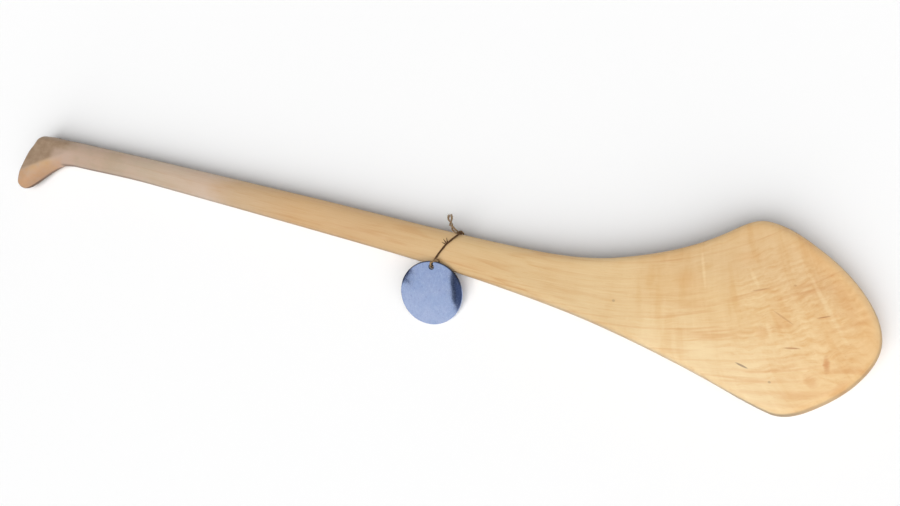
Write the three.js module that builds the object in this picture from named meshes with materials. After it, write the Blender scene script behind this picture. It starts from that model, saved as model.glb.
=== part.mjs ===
// A hurley, lying flat, with a round swing tag tied to its handle by a turn of twine.
// Millimetres, +Z up. While it is drawn, X runs from the knob's end (10) to the toe's end (914),
// Y = 0 is the straight top edge of the handle, and Z = 0 is the surface that it lies on.
// The finished group is then moved so that the origin is under the middle of the stick and tag.
import * as THREE from 'three';
import { mergeVertices } from 'three/addons/utils/BufferGeometryUtils.js';

// Driving dimensions of the stick
const HANDLE_HALF = 10.1;
const BAS_HALF = 12;
const KNOB_HALF = 12;
const TOE_THINNING = 5.5;
const TOE_CURVE = 1.5;
const MID_HEIGHT = BAS_HALF;
const KNOB_FADE = [45, 90];
const THROAT_SWELL = [600, 690];
const EDGE_CHANGE = [590, 730];
const TOE_TAPER = [790, 914];

// Width over which a face rolls over into the side, and how square that roll is
const HANDLE_ROLL = 14;
const KNOB_ROLL = 8;
const HEEL_ROLL = 5;
const TOE_ROLL = 9;
const OVAL = 2;
const SQUARER = 2.6;

// The knob is pared to a roof: a ridge runs from its inner corner to its end face
const RIDGE_INNER = [66, -22];
const RIDGE_OUTER = [14, -48];
const RIDGE_SOFTNESS = 2.5;
const UPPER_FACET_SLOPE = 0.1;
const LOWER_FACET_SLOPE = 0.27;

// Outline in plan. Each station pairs a point of the upper edge with one of the lower edge,
// as x, y and heading in degrees; steps is the number of sections up to the next station.
const STATIONS = [
  { upper: [10.4, -31, 88], lower: [10.4, -31, -92], steps: 7 },
  { upper: [14.2, -16, 65], lower: [10, -50, -90], steps: 6 },
  { upper: [18.5, -5.4, 34], lower: [14, -64.5, -26], steps: 5 },
  { upper: [25, -2.4, 3], lower: [28.2, -60.6, 40], steps: 6 },
  { upper: [45, -1.2, -1], lower: [49, -39.4, 38], steps: 5 },
  { upper: [66, -1.2, 2], lower: [66, -30.3, 11], steps: 5 },
  { upper: [90, -0.6, 0], lower: [89, -27.5, 0.7], steps: 5 },
  { upper: [200, 0, 0], lower: [200, -25.6, -0.8], steps: 5 },
  { upper: [400, 0, 0], lower: [400, -28.9, -1.1], steps: 7 },
  { upper: [630, -0.4, 1.3], lower: [620, -36.3, -4], steps: 8 },
  { upper: [717.5, 9.8, 17.2], lower: [721, -46.6, -9], steps: 8 },
  { upper: [792.5, 46.1, 38], lower: [798, -61.3, -12.5], steps: 9 },
  { upper: [819, 60.6, 0], lower: [855, -74.2, -8], steps: 10 },
  { upper: [862, 46.6, -27], lower: [880.5, -64.3, 39], steps: 9 },
  { upper: [900, 18.3, -48.2], lower: [904.8, -38.3, 58.6], steps: 9 },
  { upper: [914, -11.6, -90], lower: [914, -11.6, 90], steps: 0 },
];
const OUTLINE_DENSITY = 6;

// Faces across one face of the stick: in each edge's roll, and between the two rolls
const ROLL_STEPS = 5;
const FACE_STEPS = 4;

// How the places across a section are found: tries along the chord, halvings of each search, and
// the share of the half width that a roll may take
const CROWN_TRIES = 24;
const HALVINGS = 16;
const ROLL_SHARE = 0.9;

// The swing tag: a thin disc with one punched hole, leaning on the twine against the handle
const TAG_RADIUS = 27.5;
const TAG_THICKNESS = 1.5;
const TAG_BEVEL = 0.2;
const HOLE_RADIUS = 2;
const HOLE_MARGIN = 3;
const TAG_CENTRE = [564.8, -55.9, 13.5];
const TAG_LEAN = 24;
const TAG_TIP = 15;
const HOLE_HEADING = 96.6;
const TAG_CURVE_SEGMENTS = 48;

// The twine: a loop round the handle with one turn round the tag's rim, a knot and two tails
const TWINE_DIAMETER = 1.5;
const TURN_RADIUS = 2.9;
const TURN_SHIFT = 5.5;
const TURN_START = -100;
const TURN_SHIFT_START = -260;
const TURN_SHIFT_END = -370;
const TURN_END = -430;
const TURN_STEP = -30;
const TWINE_SIDES = 8;
const LOOP_STEPS = 80;
const TAIL_STEPS = 16;
const GAP_SAMPLES = 400;
const GAP_APART = 5;
const KNOT_CENTRE = [576.5, -1.7, 20];
const KNOT_HALF_LENGTH = 2.7;
const KNOT_RADIUS = 1.6;
const KNOT_WAIST = 0.12;
const KNOT_WAIST_WIDTH = 0.35;
const KNOT_RINGS = 12;
const KNOT_SIDES = 14;

// Under the handle the loop is most of a rounded oval, a little wider and thicker than the handle.
// It runs from behind the tag round below to the knot, and moves along the handle as it goes.
const LOOP_MIDDLE_Y = -16.75;
const LOOP_HALF_WIDTH = 17.75;
const LOOP_HALF_THICKNESS = 11.1;
const LOOP_SQUARENESS = 2.6;
const LOOP_ANGLES = [146, 386];
const LOOP_X = [566.8, 576.8];
const LOOP_POINTS = 16;

// From the knot over the handle's top face to the tag
const OVER_THE_FACE = [
  [575.3, -4.1, 20.6],
  [574.2, -6, 21.5],
  [572.7, -8.6, 22.4],
  [571, -11.4, 22.9],
  [569.2, -14, 23.2],
  [566.7, -19.4, 23.2],
  [564.6, -23.6, 22.8],
  [563, -27, 22.2],
];

// The two free ends run side by side along one axis, from their tips to the knot. They are spread
// at the tips and twisted once round each other between the two shares of the axis.
const TAILS_AXIS = [
  [560.9, 11.9, 18.2],
  [562.6, 8.4, 18.8],
  [564.6, 5, 19.6],
  [568.1, 1.6, 20.3],
  [570.6, -0.2, 20.6],
  [573.4, -1.4, 20.4],
];
const TAIL_OFFSET = 0.98;
const TIP_SPREAD = 0.7;
const TIP_SPREAD_SHARE = 0.14;
const TAILS_TWIST = [0.12, 0.85];
const TAIL_POINTS = 16;

const MERGE_TOLERANCE = 1e-4;

const rad = THREE.MathUtils.degToRad;
const { clamp, lerp, smoothstep } = THREE.MathUtils;

// An edge between two stations is a cubic that leaves and arrives along the stated headings
function edgeCurve(from, to) {
  const start = new THREE.Vector2(from[0], from[1]);
  const end = new THREE.Vector2(to[0], to[1]);
  const reach = start.distanceTo(end) / 3;
  const leave = new THREE.Vector2(Math.cos(rad(from[2])), Math.sin(rad(from[2])));
  const arrive = new THREE.Vector2(Math.cos(rad(to[2])), Math.sin(rad(to[2])));
  return new THREE.CubicBezierCurve(
    start,
    start.clone().addScaledVector(leave, reach),
    end.clone().addScaledVector(arrive, -reach),
    end,
  );
}

// Rails: the upper and the lower edge as one list of paired points
function railPairs(density) {
  const pairs = [];
  for (let s = 0; s < STATIONS.length - 1; s++) {
    const here = STATIONS[s];
    const next = STATIONS[s + 1];
    const upper = edgeCurve(here.upper, next.upper);
    const lower = edgeCurve(here.lower, next.lower);
    const steps = here.steps * density;
    for (let i = 0; i < steps; i++) {
      pairs.push({ upper: upper.getPoint(i / steps), lower: lower.getPoint(i / steps) });
    }
  }
  const last = STATIONS[STATIONS.length - 1];
  const end = new THREE.Vector2(last.upper[0], last.upper[1]);
  pairs.push({ upper: end, lower: end.clone() });
  return pairs;
}

const fineRails = railPairs(OUTLINE_DENSITY);
const outline = [
  ...fineRails.map((pair) => pair.upper),
  ...fineRails.slice(1, -1).reverse().map((pair) => pair.lower),
];

// Shortest distance in plan from a point to the outline
function distanceToOutline(point) {
  let best = Infinity;
  for (let i = 0; i < outline.length; i++) {
    const a = outline[i];
    const b = outline[(i + 1) % outline.length];
    const dx = b.x - a.x;
    const dy = b.y - a.y;
    const along = ((point.x - a.x) * dx + (point.y - a.y) * dy) / (dx * dx + dy * dy);
    const t = clamp(along, 0, 1);
    best = Math.min(best, Math.hypot(point.x - a.x - t * dx, point.y - a.y - t * dy));
  }
  return best;
}

// Half thickness in the middle of the section at x
function halfThickness(x) {
  const knob = 1 - smoothstep(x, ...KNOB_FADE);
  const bas = smoothstep(x, ...THROAT_SWELL);
  const toe = clamp((x - TOE_TAPER[0]) / (TOE_TAPER[1] - TOE_TAPER[0]), 0, 1);
  const swell = (KNOB_HALF - HANDLE_HALF) * knob + (BAS_HALF - HANDLE_HALF) * bas;
  return HANDLE_HALF + swell - TOE_THINNING * toe ** TOE_CURVE;
}

// How far the knob's two pared facets fall below its ridge
function facetFall(point) {
  const ax = RIDGE_OUTER[0] - RIDGE_INNER[0];
  const ay = RIDGE_OUTER[1] - RIDGE_INNER[1];
  const length = Math.hypot(ax, ay);
  const side = ((point.y - RIDGE_INNER[1]) * ax - (point.x - RIDGE_INNER[0]) * ay) / length;
  const slope = side < 0 ? UPPER_FACET_SLOPE : LOWER_FACET_SLOPE;
  const away = Math.hypot(side, RIDGE_SOFTNESS) - RIDGE_SOFTNESS;
  return slope * away * (1 - smoothstep(point.x, ...KNOB_FADE));
}

// Width of the roll at the edge: wide on the oval handle, narrow on the knob and the bas
function rollWidth(x, across) {
  const knob = 1 - smoothstep(x, ...KNOB_FADE);
  const bas = smoothstep(x, ...EDGE_CHANGE);
  const basRoll = lerp(HEEL_ROLL, TOE_ROLL, across);
  return lerp(lerp(HANDLE_ROLL, basRoll, bas), KNOB_ROLL, knob);
}

// Height of the face above the middle plane: full inside, rolled over to nothing at the outline
function faceHeight(point, across, distance) {
  const full = halfThickness(point.x) - facetFall(point);
  const bas = smoothstep(point.x, ...EDGE_CHANGE);
  const power = lerp(OVAL, SQUARER, bas);
  const inside = clamp(distance / rollWidth(point.x, across), 0, 1);
  return full * (1 - (1 - inside) ** power) ** (1 / power);
}

// Places across one chord of the outline, close together where the face rolls over
function placesAcross(lower, upper) {
  const at = (t) => distanceToOutline(lower.clone().lerp(upper, t));
  let crown = 0.5;
  for (let i = 1; i < CROWN_TRIES; i++) {
    if (at(i / CROWN_TRIES) > at(crown)) {
      crown = i / CROWN_TRIES;
    }
  }
  const deepest = at(crown);
  const find = (target, edge) => {
    let near = edge;
    let far = crown;
    for (let i = 0; i < HALVINGS; i++) {
      const middle = (near + far) / 2;
      if (at(middle) < target) {
        near = middle;
      } else {
        far = middle;
      }
    }
    return (near + far) / 2;
  };
  const side = (edge) => {
    const x = lerp(lower.x, upper.x, edge);
    const reach = Math.min(rollWidth(x, edge), ROLL_SHARE * deepest);
    const list = [edge];
    for (let i = 1; i <= ROLL_STEPS; i++) {
      list.push(find(reach * (1 - Math.cos((Math.PI / 2) * (i / ROLL_STEPS))), edge));
    }
    return list;
  };
  const low = side(0);
  const high = side(1).reverse();
  const faceStart = low[ROLL_STEPS];
  const faceEnd = high[0];
  const face = [];
  for (let i = 1; i < FACE_STEPS; i++) {
    face.push(lerp(faceStart, faceEnd, i / FACE_STEPS));
  }
  return [...low, ...face, ...high];
}

// The stick is a loft between the two rails, closed to one point at each end
function stickGeometry() {
  const rings = railPairs(1).slice(1, -1).map(({ upper, lower }) => {
    const top = placesAcross(lower, upper).map((t) => {
      const point = lower.clone().lerp(upper, t);
      const onEdge = t === 0 || t === 1;
      const height = onEdge ? 0 : faceHeight(point, t, distanceToOutline(point));
      return [point.x, point.y, height];
    });
    const bottom = top.slice(1, -1).reverse().map(([x, y, height]) => [x, y, -height]);
    return [...top, ...bottom];
  });
  const around = rings[0].length;
  const first = STATIONS[0].upper;
  const last = STATIONS[STATIONS.length - 1].upper;
  const vertices = [[first[0], first[1], 0], ...rings.flat(), [last[0], last[1], 0]];
  const index = [];
  for (let j = 0; j < around; j++) {
    const next = (j + 1) % around;
    index.push(0, 1 + j, 1 + next);
    for (let i = 0; i < rings.length - 1; i++) {
      const a = 1 + i * around + j;
      const b = 1 + i * around + next;
      index.push(a, a + around, b, b, a + around, b + around);
    }
    const end = 1 + (rings.length - 1) * around;
    index.push(vertices.length - 1, end + next, end + j);
  }
  const geometry = new THREE.BufferGeometry();
  const positions = vertices.flatMap(([x, y, z]) => [x, y, z + MID_HEIGHT]);
  geometry.setAttribute('position', new THREE.Float32BufferAttribute(positions, 3));
  geometry.setIndex(index);
  return geometry;
}

// The tag's own axes: z out of its face, y from its centre to the hole, x along the rim there
function tagAxes() {
  const z = new THREE.Vector3(Math.tan(rad(TAG_TIP)), -Math.tan(rad(TAG_LEAN)), 1).normalize();
  const y = new THREE.Vector3(Math.cos(rad(HOLE_HEADING)), Math.sin(rad(HOLE_HEADING)), 0);
  y.z = -(y.x * z.x + y.y * z.y) / z.z;
  y.normalize();
  const x = new THREE.Vector3().crossVectors(y, z);
  return { x, y, z };
}

// A disc with a punched hole and slightly broken edges, its middle plane at z = 0
function tagGeometry() {
  const shape = new THREE.Shape();
  shape.absarc(0, 0, TAG_RADIUS - TAG_BEVEL, 0, 2 * Math.PI, false);
  const hole = new THREE.Path();
  hole.absarc(0, TAG_RADIUS - HOLE_MARGIN - HOLE_RADIUS, HOLE_RADIUS + TAG_BEVEL, 0, 2 * Math.PI, true);
  shape.holes.push(hole);
  const depth = TAG_THICKNESS - 2 * TAG_BEVEL;
  const geometry = new THREE.ExtrudeGeometry(shape, {
    depth,
    curveSegments: TAG_CURVE_SEGMENTS,
    bevelEnabled: true,
    bevelSize: TAG_BEVEL,
    bevelThickness: TAG_BEVEL,
    bevelSegments: 1,
  });
  geometry.translate(0, 0, -depth / 2);
  return geometry;
}

// One turn round the middle of the tag's rim margin. It comes up through the hole from behind,
// goes over the face and the rim while it shifts along the rim, and turns down behind it.
function turnRoundTheRim() {
  const { x, y, z } = tagAxes();
  const centre = new THREE.Vector3(...TAG_CENTRE).addScaledVector(y, TAG_RADIUS - HOLE_MARGIN / 2);
  const points = [];
  for (let angle = TURN_START; angle >= TURN_END; angle += TURN_STEP) {
    const shifted = (angle - TURN_SHIFT_START) / (TURN_SHIFT_END - TURN_SHIFT_START);
    const shift = TURN_SHIFT * smoothstep(shifted, 0, 1);
    points.push(
      centre.clone()
        .addScaledVector(x, shift)
        .addScaledVector(y, TURN_RADIUS * Math.cos(rad(angle)))
        .addScaledVector(z, TURN_RADIUS * Math.sin(rad(angle))),
    );
  }
  return points;
}

// Half way round the handle from behind the tag, below it, and up to the knot
function roundBelow() {
  const power = 2 / LOOP_SQUARENESS;
  const bent = (value) => Math.sign(value) * Math.abs(value) ** power;
  const points = [];
  for (let i = 0; i <= LOOP_POINTS; i++) {
    const share = i / LOOP_POINTS;
    const angle = rad(lerp(LOOP_ANGLES[0], LOOP_ANGLES[1], share));
    points.push(
      new THREE.Vector3(
        lerp(LOOP_X[0], LOOP_X[1], share),
        LOOP_MIDDLE_Y + LOOP_HALF_WIDTH * bent(Math.cos(angle)),
        MID_HEIGHT + LOOP_HALF_THICKNESS * bent(Math.sin(angle)),
      ),
    );
  }
  return points;
}

const toVectors = (list) => list.map((point) => new THREE.Vector3(...point));

const twinePath = (points) => new THREE.CatmullRomCurve3(points, false, 'centripetal');

// Least gap between two stretches of the twine that lie well apart along it
function leastGap(points) {
  const samples = twinePath(points).getSpacedPoints(GAP_SAMPLES);
  const step = samples[0].distanceTo(samples[1]);
  const apart = Math.ceil((GAP_APART * TWINE_DIAMETER) / step);
  let best = Infinity;
  for (let i = 0; i < samples.length; i++) {
    for (let j = i + apart; j < samples.length; j++) {
      best = Math.min(best, samples[i].distanceTo(samples[j]));
    }
  }
  return best - TWINE_DIAMETER;
}

// One free end, tip first: it goes once round the axis, starting on the side that phase gives
function tailPoints(phase) {
  const axis = twinePath(toVectors(TAILS_AXIS));
  const points = [];
  for (let i = 0; i <= TAIL_POINTS; i++) {
    const share = i / TAIL_POINTS;
    const ahead = axis.getTangentAt(share);
    const side = new THREE.Vector3().crossVectors(ahead, new THREE.Vector3(0, 0, 1)).normalize();
    const up = new THREE.Vector3().crossVectors(side, ahead);
    const angle = phase + 2 * Math.PI * smoothstep(share, ...TAILS_TWIST);
    const offset = TAIL_OFFSET + TIP_SPREAD * Math.exp(-((share / TIP_SPREAD_SHARE) ** 2));
    points.push(
      axis.getPointAt(share)
        .addScaledVector(side, offset * Math.cos(angle))
        .addScaledVector(up, offset * Math.sin(angle)),
    );
  }
  return points;
}

// Twine along a smooth curve through its points
function twineGeometry(points, steps) {
  const section = new THREE.Shape();
  for (let i = 0; i < TWINE_SIDES; i++) {
    const angle = (2 * Math.PI * i) / TWINE_SIDES;
    const x = (TWINE_DIAMETER / 2) * Math.cos(angle);
    const y = (TWINE_DIAMETER / 2) * Math.sin(angle);
    if (i === 0) {
      section.moveTo(x, y);
    } else {
      section.lineTo(x, y);
    }
  }
  const settings = { steps, extrudePath: twinePath(points), bevelEnabled: false };
  return new THREE.ExtrudeGeometry(section, settings);
}

// The knot's lump: an egg turned about its length, with a slight waist
function knotGeometry() {
  const profile = [];
  for (let i = 0; i <= KNOT_RINGS; i++) {
    const angle = Math.PI * (i / KNOT_RINGS);
    const waist = 1 - KNOT_WAIST * Math.exp(-((Math.cos(angle) / KNOT_WAIST_WIDTH) ** 2));
    const radius = i === 0 || i === KNOT_RINGS ? 0 : KNOT_RADIUS * waist * Math.sin(angle);
    profile.push(new THREE.Vector2(radius, -KNOT_HALF_LENGTH * Math.cos(angle)));
  }
  const geometry = new THREE.LatheGeometry(profile, KNOT_SIDES);
  geometry.rotateZ(-Math.PI / 2);
  return geometry;
}

// A mesh whose faces share their corners
function part(name, geometry, color, roughness, metalness) {
  geometry.deleteAttribute('normal');
  geometry.deleteAttribute('uv');
  const merged = mergeVertices(geometry, MERGE_TOLERANCE);
  merged.computeVertexNormals();
  const material = new THREE.MeshStandardMaterial({ color, roughness, metalness });
  const mesh = new THREE.Mesh(merged, material);
  mesh.name = name;
  return mesh;
}

const stick = part('ash_stick', stickGeometry(), 0xe2b987, 0.45, 0);

const tag = part('swing_tag', tagGeometry(), 0x9fb4dc, 0.15, 0.8);
const axes = tagAxes();
tag.quaternion.setFromRotationMatrix(new THREE.Matrix4().makeBasis(axes.x, axes.y, axes.z));
tag.position.set(...TAG_CENTRE);

const loopPoints = [
  ...toVectors(OVER_THE_FACE),
  ...turnRoundTheRim(),
  ...roundBelow(),
];
console.log(`twine's least gap to itself: ${leastGap(loopPoints).toFixed(2)} mm`);
const loop = part('twine_loop', twineGeometry(loopPoints, LOOP_STEPS), 0x8a6a4a, 0.9, 0);
const knot = part('twine_knot', knotGeometry(), 0x6e5038, 0.9, 0);
knot.position.set(...KNOT_CENTRE);
const tailLong = part(
  'twine_tail_long', twineGeometry(tailPoints(0), TAIL_STEPS), 0x7d6a48, 0.9, 0,
);
const tailShort = part(
  'twine_tail_short', twineGeometry(tailPoints(Math.PI), TAIL_STEPS), 0x9a7652, 0.9, 0,
);

const group = new THREE.Group();
group.add(stick, tag, loop, knot, tailLong, tailShort);

// Move the origin to the middle of the stick and tag, on the surface that they lie on
group.updateMatrixWorld(true);
const box = new THREE.Box3().setFromObject(stick, true).expandByObject(tag, true);
group.position.set(-(box.min.x + box.max.x) / 2, -(box.min.y + box.max.y) / 2, 0);
group.updateMatrixWorld(true);

export default group;
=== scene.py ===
"""A hurley of bare ash, lying flat, with a round mirror tag tied to its handle with twine.

Sizes are drawn in millimetres as the stick lies: X runs from the knob's end to the toe's end,
Y = 0 is the straight top edge of the handle and Z = 0 is the floor. place() carries them into
the frame, in metres.
"""
import bpy
import numpy as np
from mathutils import Matrix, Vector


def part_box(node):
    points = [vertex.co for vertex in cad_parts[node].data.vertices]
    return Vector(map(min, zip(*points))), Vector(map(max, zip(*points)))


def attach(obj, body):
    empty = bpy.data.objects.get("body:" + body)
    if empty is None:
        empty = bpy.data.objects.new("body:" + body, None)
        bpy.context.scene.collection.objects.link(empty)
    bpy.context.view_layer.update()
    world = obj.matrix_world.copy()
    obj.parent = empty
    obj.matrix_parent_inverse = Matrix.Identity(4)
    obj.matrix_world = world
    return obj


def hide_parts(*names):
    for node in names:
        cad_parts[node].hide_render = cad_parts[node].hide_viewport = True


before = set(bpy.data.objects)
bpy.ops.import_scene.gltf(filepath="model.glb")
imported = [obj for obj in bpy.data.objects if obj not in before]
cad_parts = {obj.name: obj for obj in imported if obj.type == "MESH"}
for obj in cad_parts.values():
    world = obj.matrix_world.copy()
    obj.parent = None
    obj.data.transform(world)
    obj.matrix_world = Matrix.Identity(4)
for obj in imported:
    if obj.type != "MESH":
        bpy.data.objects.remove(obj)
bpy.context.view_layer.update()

MM = 0.001
TOE_END_X = 914
TOE_CORNER_Y = 60.6
stick_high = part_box("ash_stick")[1]
SHIFT = np.array([stick_high[0] / MM - TOE_END_X, stick_high[1] / MM - TOE_CORNER_Y, 0.0])


def place(points):
    """Drawing millimetres to the frame's metres."""
    return (np.asarray(points, float) + SHIFT) * MM


# Camera

CAMERA_LENS = 40
CAMERA_SENSOR = 36
CAMERA_NEAR = 0.01
CAMERA_AT = (993.96, -122.58, 740.12)
CAMERA_HEADING = 166.302
CAMERA_TILT = -59.0
CAMERA_ROLL = -60.0


def direction(heading, height):
    """The way with a heading from the X axis and a height above level, both in degrees."""
    turn, lift = np.radians([heading, height])
    return np.array([np.cos(lift) * np.cos(turn), np.cos(lift) * np.sin(turn), np.sin(lift)])


def make_camera():
    """The view from above the toe's end, down along the stick to the knob, rolled on its side."""
    data = bpy.data.cameras.new("view")
    data.lens = CAMERA_LENS
    data.sensor_width = CAMERA_SENSOR
    data.clip_start = CAMERA_NEAR
    ahead = direction(CAMERA_HEADING, CAMERA_TILT)
    level = direction(CAMERA_HEADING - 90, 0)
    roll = np.radians(CAMERA_ROLL)
    right = np.cos(roll) * level + np.sin(roll) * np.cross(level, ahead)
    turn = Matrix(np.stack([right, np.cross(right, ahead), -ahead]).T.tolist()).to_4x4()
    camera = bpy.data.objects.new("view", data)
    camera.matrix_world = Matrix.Translation(place(CAMERA_AT).tolist()) @ turn
    bpy.context.scene.collection.objects.link(camera)
    bpy.context.scene.camera = camera


# Shader maths

class Field:
    """A value that changes over a surface, with the usual operators as Math nodes."""

    def __init__(self, paint, socket):
        self.paint = paint
        self.socket = socket

    def math(self, operation, *values):
        """A Math node with this value first."""
        inputs = dict(enumerate((self, *values)))
        return self.paint.node("ShaderNodeMath", {"operation": operation}, inputs)

    def __add__(self, other):
        return self.math("ADD", other)

    def __sub__(self, other):
        return self.math("SUBTRACT", other)

    def __mul__(self, other):
        return self.math("MULTIPLY", other)

    def __pow__(self, other):
        return self.math("POWER", other)

    __radd__ = __add__
    __rmul__ = __mul__

    def __rsub__(self, other):
        return self.paint.node(
            "ShaderNodeMath", {"operation": "SUBTRACT"}, {0: other, 1: self})

    def __abs__(self):
        return self.math("ABSOLUTE")

    def ramp(self, start, end, low=0.0, high=1.0, smooth=True):
        """low at start, high at end, level outside them, and a soft or a straight rise between."""
        kind = "SMOOTHSTEP" if smooth else "LINEAR"
        sockets = {0: self, 1: start, 2: end, 3: low, 4: high}
        return self.paint.node("ShaderNodeMapRange", {"interpolation_type": kind}, sockets)

    def bell(self, middle, width):
        """1 at the middle, falling softly to 0 at width on both sides."""
        return abs(self - middle).ramp(0.0, width, 1.0, 0.0)

    def window(self, start, end, fade):
        """1 from start to end, falling softly to 0 over the fade outside them."""
        return self.ramp(start - fade, start) * self.ramp(end, end + fade, 1.0, 0.0)

    def scaled(self, x, y, z):
        """A vector stretched along its axes."""
        return self.paint.node(
            "ShaderNodeVectorMath", {"operation": "MULTIPLY"}, {0: self, 1: (x, y, z)})

    def moved(self, other):
        """A vector moved by another."""
        return self.paint.node("ShaderNodeVectorMath", {"operation": "ADD"}, {0: self, 1: other})

    def parts(self):
        """The three components of a vector."""
        first = self.paint.node("ShaderNodeSeparateXYZ", {}, {0: self})
        return [Field(self.paint, out) for out in first.socket.node.outputs]


class Paint:
    """One material: its nodes and its Principled shader."""

    def __init__(self, name):
        self.material = bpy.data.materials.new(name)
        self.material.use_nodes = True
        self.tree = self.material.node_tree
        self.tree.nodes.clear()
        self.shader = self.tree.nodes.new("ShaderNodeBsdfPrincipled")
        output = self.tree.nodes.new("ShaderNodeOutputMaterial")
        self.tree.links.new(self.shader.outputs[0], output.inputs[0])

    def feed(self, node, key, value):
        """Links or sets one input."""
        if isinstance(value, Field):
            self.tree.links.new(value.socket, node.inputs[key])
        else:
            node.inputs[key].default_value = value

    def node(self, kind, settings, inputs, output=0):
        """Adds a node of any type, sets it, feeds its inputs and gives one output."""
        node = self.tree.nodes.new(kind)
        for key, value in settings.items():
            if key == "stops":
                self.set_stops(node.color_ramp, value)
            else:
                setattr(node, key, value)
        for key, value in inputs.items():
            self.feed(node, key, value)
        return Field(self, node.outputs[output])

    def set_stops(self, ramp, stops):
        """Colours along a ramp, given as place and colour, from 0 to 1."""
        while len(ramp.elements) < len(stops):
            ramp.elements.new(1.0)
        for element, (place_on_ramp, colour) in zip(ramp.elements, stops):
            element.position = place_on_ramp
            element.color = colour

    def attribute(self, name):
        """A vector kept for each vertex of the mesh."""
        return self.node("ShaderNodeAttribute", {"attribute_name": name}, {}, "Vector")

    def noise(self, vector, detail, rough, scale=1.0):
        """Cloudy values about 0.5."""
        inputs = {"Vector": vector, "Scale": scale, "Detail": detail, "Roughness": rough}
        return self.node("ShaderNodeTexNoise", {}, inputs)

    def drawn_out(self, vector, cells, detail, rough):
        """A noise with so many cells to a millimetre along each axis."""
        return self.noise(vector.scaled(*cells), detail, rough)

    def mix(self, factor, first, second, blend="MIX"):
        """Two colours by a factor."""
        settings = {"data_type": "RGBA", "blend_type": blend}
        return self.node("ShaderNodeMix", settings, {0: factor, 6: first, 7: second}, 2)

    def shade(self, colour, factor, tint):
        """A colour multiplied by a tint as far as the factor says."""
        return self.mix(factor, colour, tint, "MULTIPLY")

    def bump(self, height, distance, strength):
        """A normal tipped by a height that rises by the distance, in metres."""
        inputs = {"Height": height, "Distance": distance, "Strength": strength}
        return self.node("ShaderNodeBump", {}, inputs)

    def set(self, **inputs):
        """Feeds the Principled shader; an underscore in a name stands for a space."""
        for key, value in inputs.items():
            self.feed(self.shader, key.replace("_", " "), value)


def rgb(red, green, blue):
    """A colour as it looks on a screen, 0 to 255, as the linear colour a shader takes."""
    shown = np.array([red, green, blue]) / 255
    linear = np.where(shown <= 0.04045, shown / 12.92, ((shown + 0.055) / 1.055) ** 2.4)
    return (*linear.tolist(), 1.0)


# Meshes

def grid_faces(rows, columns, wrap_rows=False):
    """Four-sided faces of rows of vertices, each row a closed ring, numbered row by row."""
    row = np.arange(rows if wrap_rows else rows - 1)
    r, c = np.meshgrid(row, np.arange(columns), indexing="ij")
    down = (r + 1) % rows
    right = (c + 1) % columns
    corners = [r * columns + c, r * columns + right, down * columns + right, down * columns + c]
    return np.stack(corners, -1).reshape(-1, 4)


def make_mesh(name, vertices, quads, triangles, body, material):
    """A smooth object at the origin with its place in its mesh, riding on a body if it has one."""
    mesh = bpy.data.meshes.new(name)
    faces = [*np.asarray(quads).tolist(), *np.asarray(triangles).tolist()]
    mesh.from_pydata(np.asarray(vertices), [], faces)
    mesh.polygons.foreach_set("use_smooth", np.full(len(faces), True))
    mesh.update()
    piece = bpy.data.objects.new(name, mesh)
    bpy.context.scene.collection.objects.link(piece)
    mesh.materials.append(material)
    if body:
        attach(piece, body)
    return piece


def add_vector(piece, name, values):
    """A vector for each vertex that a material can read."""
    layer = piece.data.attributes.new(name, "FLOAT_VECTOR", "POINT")
    layer.data.foreach_set("vector", np.asarray(values, np.float32).ravel())


MID_HEIGHT = 12.0


# The twine

# Its plies, which circle it, open out at both ends and thin to the tips
PLY_COUNT = 3
PLY_RADIUS = 0.43
PLY_OFFSET = 0.36
TWIST_PITCH = 5.0
PLY_SIDES = 10
TWINE_STEP = 0.25
FRAY_OPENING = 1.1
FRAY_REACH = 4.0
TIP_THINNING = 0.4
TIP_REACH = 0.9
CURVE_STEPS = 40

# The tag that it ties on: size, place and lean in degrees
TAG_RADIUS = 27.5
TAG_THICKNESS = 1.5
HOLE_RADIUS = 2.0
HOLE_MARGIN = 3.0
HOLE_Y = TAG_RADIUS - HOLE_MARGIN - HOLE_RADIUS
TAG_CENTRE = np.array([564.8, -55.9, 13.5])
TAG_LEAN = 24
TAG_TIP = 15
HOLE_HEADING = 96.6

# The turn round the tag's rim, with angles in degrees about the tag's x axis
TURN_RADIUS = 2.9
TURN_SWELL = 0.65
TURN_SWELL_AT = -185
TURN_SWELL_WIDTH = 45
TURN_SHIFT = 5.5
TURN_ANGLES = np.arange(-100, -431, -30)
TURN_SHIFTED = (-272, -350)

# The knot: a coil of the twine about a core
KNOT_CENTRE = (576.5, -1.7, 20.0)
KNOT_TURNS = 3.2
KNOT_STEPS = 160
KNOT_HALF_LENGTH = 2.0
KNOT_RADIUS = 0.5
KNOT_SWELL = 0.25
KNOT_TUBE = 0.58
CORE_STEPS = 40
CORE_HALF_LENGTH = 2.5
CORE_SWAY = 0.25
CORE_WAVES = 1.3
CORE_TUBE = 0.6
# How far the knot counts as over the face, a free end, and in painted shade
KNOT_STRETCH = (1.0, 0.0, 0.45)

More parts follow.
